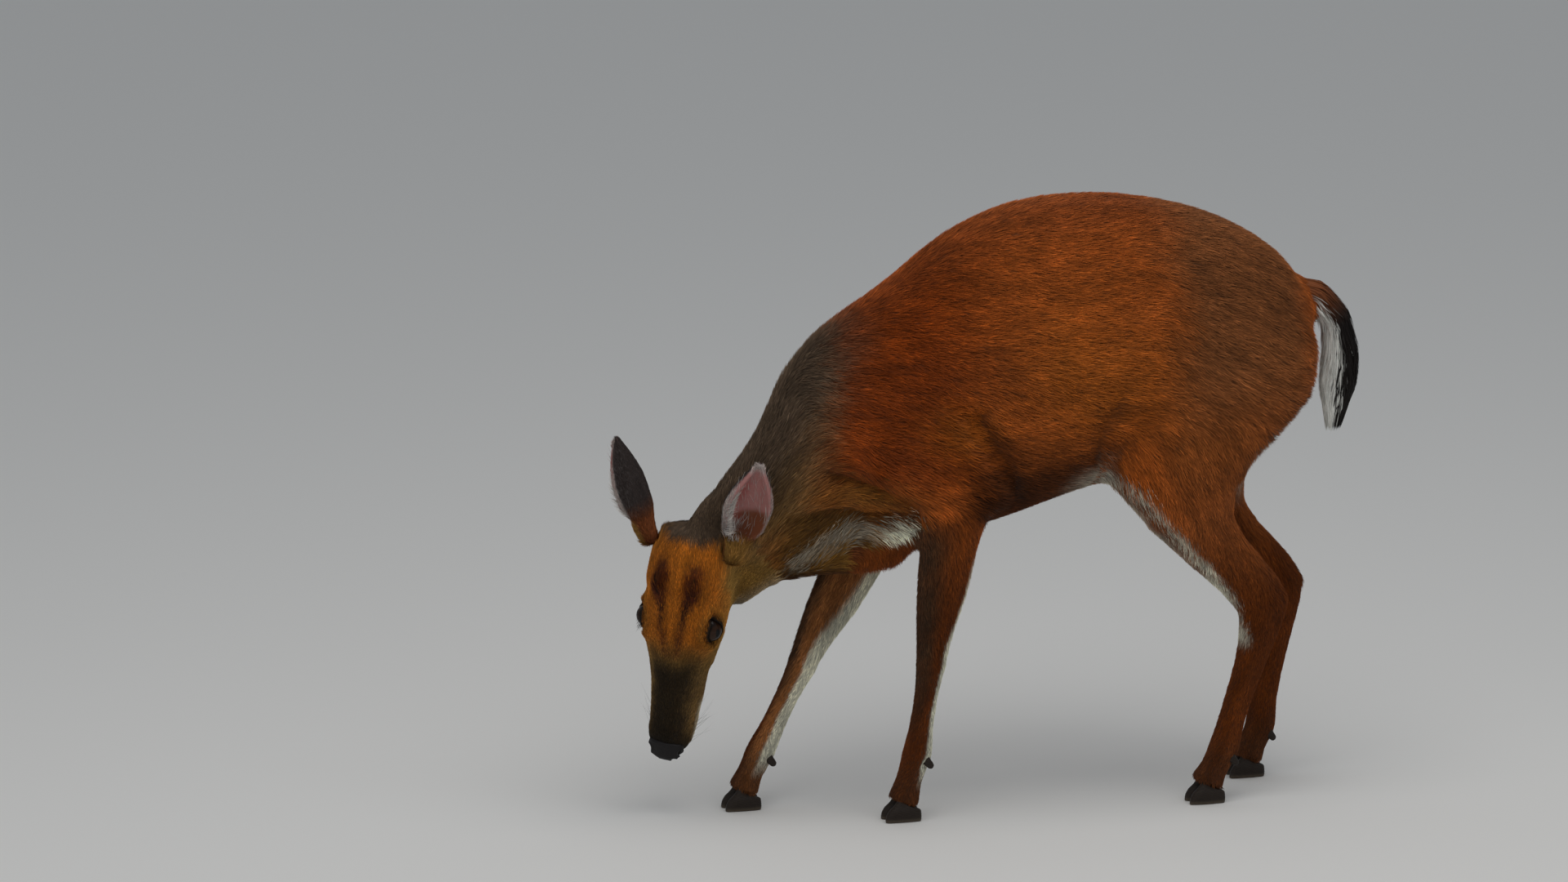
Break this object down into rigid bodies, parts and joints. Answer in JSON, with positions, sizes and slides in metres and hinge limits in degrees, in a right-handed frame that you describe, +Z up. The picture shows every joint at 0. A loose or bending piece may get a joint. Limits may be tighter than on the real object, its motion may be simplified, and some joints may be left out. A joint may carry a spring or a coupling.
{
  "type": "muntjac deer",
  "caption": "Life-size still model of a standing muntjac doe that browses with lowered, turned head; free-standing on its hooves.",
  "frame": {"origin": "on the floor, under the middle of the animal's length and width", "axes": "-X is the way the body faces, -Y is its left side and +Z is up; the hooves stand on Z = 0"},
  "size_m": [0.7232, 0.1938, 0.583],
  "materials": {
    "body_coat": "short rufous-chestnut hair that lies towards the tail, darker along the back, pale under the belly and on the throat",
    "neck_coat": "short slate-grey hair on the nape and the top of the neck, ticked brown at the sides",
    "face_coat": "very short hair, bright rufous on the crown, tan on the cheeks, dark brown on the muzzle and cream on the chin",
    "ear_coat": "thin short slate hair on the back of the ear, bare pink skin with white hairs in its cup",
    "leg_coat": "very short dark rufous-brown hair with a pale grey inner side",
    "tail_coat": "long hair, rufous over the root, black at the outer tip and white underneath",
    "horn": "dark, slightly glossy horn",
    "nose_skin": "wet, finely grained black skin",
    "eye": "dark brown, wet and glossy"
  },
  "bodies": {
    "root": {"chest": "body_coat", "belly": "body_coat", "rump": "body_coat", "neck": "neck_coat", "head": "face_coat", "lower_jaw": "face_coat", "nose": "nose_skin", "ear_left": "ear_coat", "ear_right": "ear_coat", "eye_left": "eye", "eye_right": "eye", "tail": "tail_coat", "left_fore_forearm": "body_coat", "left_fore_cannon": "leg_coat", "left_fore_foot": "leg_coat", "left_fore_dewclaw_inner": "horn", "left_fore_dewclaw_outer": "horn", "left_fore_hoof_inner": "horn", "left_fore_hoof_outer": "horn", "right_fore_forearm": "body_coat", "right_fore_cannon": "leg_coat", "right_fore_foot": "leg_coat", "right_fore_dewclaw_inner": "horn", "right_fore_dewclaw_outer": "horn", "right_fore_hoof_inner": "horn", "right_fore_hoof_outer": "horn", "left_hind_thigh": "body_coat", "left_hind_gaskin": "body_coat", "left_hind_cannon": "leg_coat", "left_hind_foot": "leg_coat", "left_hind_dewclaw_inner": "horn", "left_hind_dewclaw_outer": "horn", "left_hind_hoof_inner": "horn", "left_hind_hoof_outer": "horn", "right_hind_thigh": "body_coat", "right_hind_gaskin": "body_coat", "right_hind_cannon": "leg_coat", "right_hind_foot": "leg_coat", "right_hind_dewclaw_inner": "horn", "right_hind_dewclaw_outer": "horn", "right_hind_hoof_inner": "horn", "right_hind_hoof_outer": "horn"}
  },
  "joints": []
}
